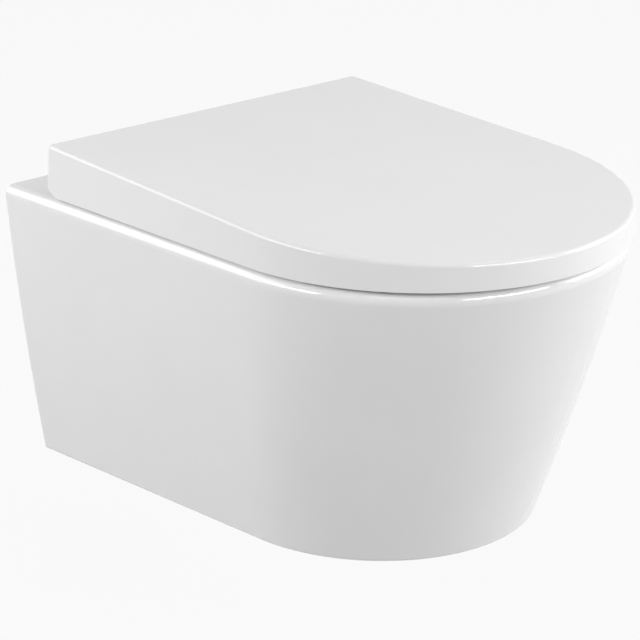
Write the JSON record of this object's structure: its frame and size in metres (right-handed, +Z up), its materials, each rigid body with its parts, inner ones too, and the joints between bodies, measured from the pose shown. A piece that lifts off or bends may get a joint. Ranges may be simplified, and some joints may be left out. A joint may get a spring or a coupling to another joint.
{
  "type": "wall hung toilet",
  "caption": "Wall hung toilet: tapering D-shaped ceramic pan with rimless basin and trap, seat ring and wedge-shaped lid on soft-close, lift-off hinges, hidden wall brackets.",
  "frame": {"origin": "middle between the two wall stud holes, on the wall plane", "axes": "+Y into the wall, normal to it; the pan reaches towards -Y; +Z up; +X to the right seen from the front"},
  "size_m": [0.3704, 0.499, 0.3032],
  "materials": {
    "glaze": "gloss",
    "lid_plastic": "gloss",
    "seat_plastic": "gloss",
    "buffer_rubber": "matte",
    "gasket_rubber": "matte",
    "damper_plastic": "matte",
    "bush_plastic": "matte",
    "hinge_plastic": "satin",
    "button_plastic": "satin",
    "post_chrome": "polished",
    "axle_steel": "satin",
    "spring_steel": "satin",
    "zinc_steel": "satin"
  },
  "bodies": {
    "pan": {"pan_shell": "glaze", "rim": "glaze", "basin": "glaze", "trapway": "glaze", "outlet_spigot": "glaze", "inlet_boss": "glaze", "flush_channel": "glaze", "clamp_nuts": "zinc_steel", "stud_nuts": "zinc_steel", "stud_washers": "zinc_steel", "hinge_post_left": "post_chrome", "hinge_post_right": "post_chrome", "hinge_gasket_left": "gasket_rubber", "hinge_gasket_right": "gasket_rubber", "centering_bush_left": "bush_plastic", "centering_bush_right": "bush_plastic", "wall_bracket_left": "zinc_steel", "wall_bracket_right": "zinc_steel"},
    "hinges": {"hinge_body_left": "hinge_plastic", "hinge_body_right": "hinge_plastic", "hinge_axle_left": "axle_steel", "hinge_axle_right": "axle_steel", "retaining_clip_left": "spring_steel", "retaining_clip_right": "spring_steel"},
    "release_left": {"release_button_left": "button_plastic"},
    "release_right": {"release_button_right": "button_plastic"},
    "seat": {"seat_ring": "seat_plastic", "seat_buffers": "buffer_rubber", "seat_damper": "damper_plastic", "seat_bush": "bush_plastic"},
    "lid": {"lid": "lid_plastic", "lid_buffers": "buffer_rubber", "lid_damper": "damper_plastic", "lid_bush": "bush_plastic"}
  },
  "joints": [
    {"name": "lift_off", "type": "slide", "parent": "pan", "child": "hinges", "axis": [0, 0, 1], "range_m": [0, 0.03], "deforming": ["retaining_clip_left", "retaining_clip_right"]},
    {"name": "seat_lift", "type": "hinge", "parent": "hinges", "child": "seat", "pos_m": [0, -0.068, 0.102], "axis": [-1, 0, 0], "range_deg": [0, 97]},
    {"name": "lid_lift", "type": "hinge", "parent": "seat", "child": "lid", "pos_m": [0, -0.068, 0.102], "axis": [1, 0, 0], "range_deg": [-97, 0]},
    {"name": "release_left", "type": "slide", "parent": "hinges", "child": "release_left", "axis": [0, 1, 0], "range_m": [0, 0.003], "stiffness_N_per_m": 500, "springref_m": -0.001},
    {"name": "release_right", "type": "slide", "parent": "hinges", "child": "release_right", "axis": [0, 1, 0], "range_m": [0, 0.003], "stiffness_N_per_m": 500, "springref_m": -0.001}
  ]
}
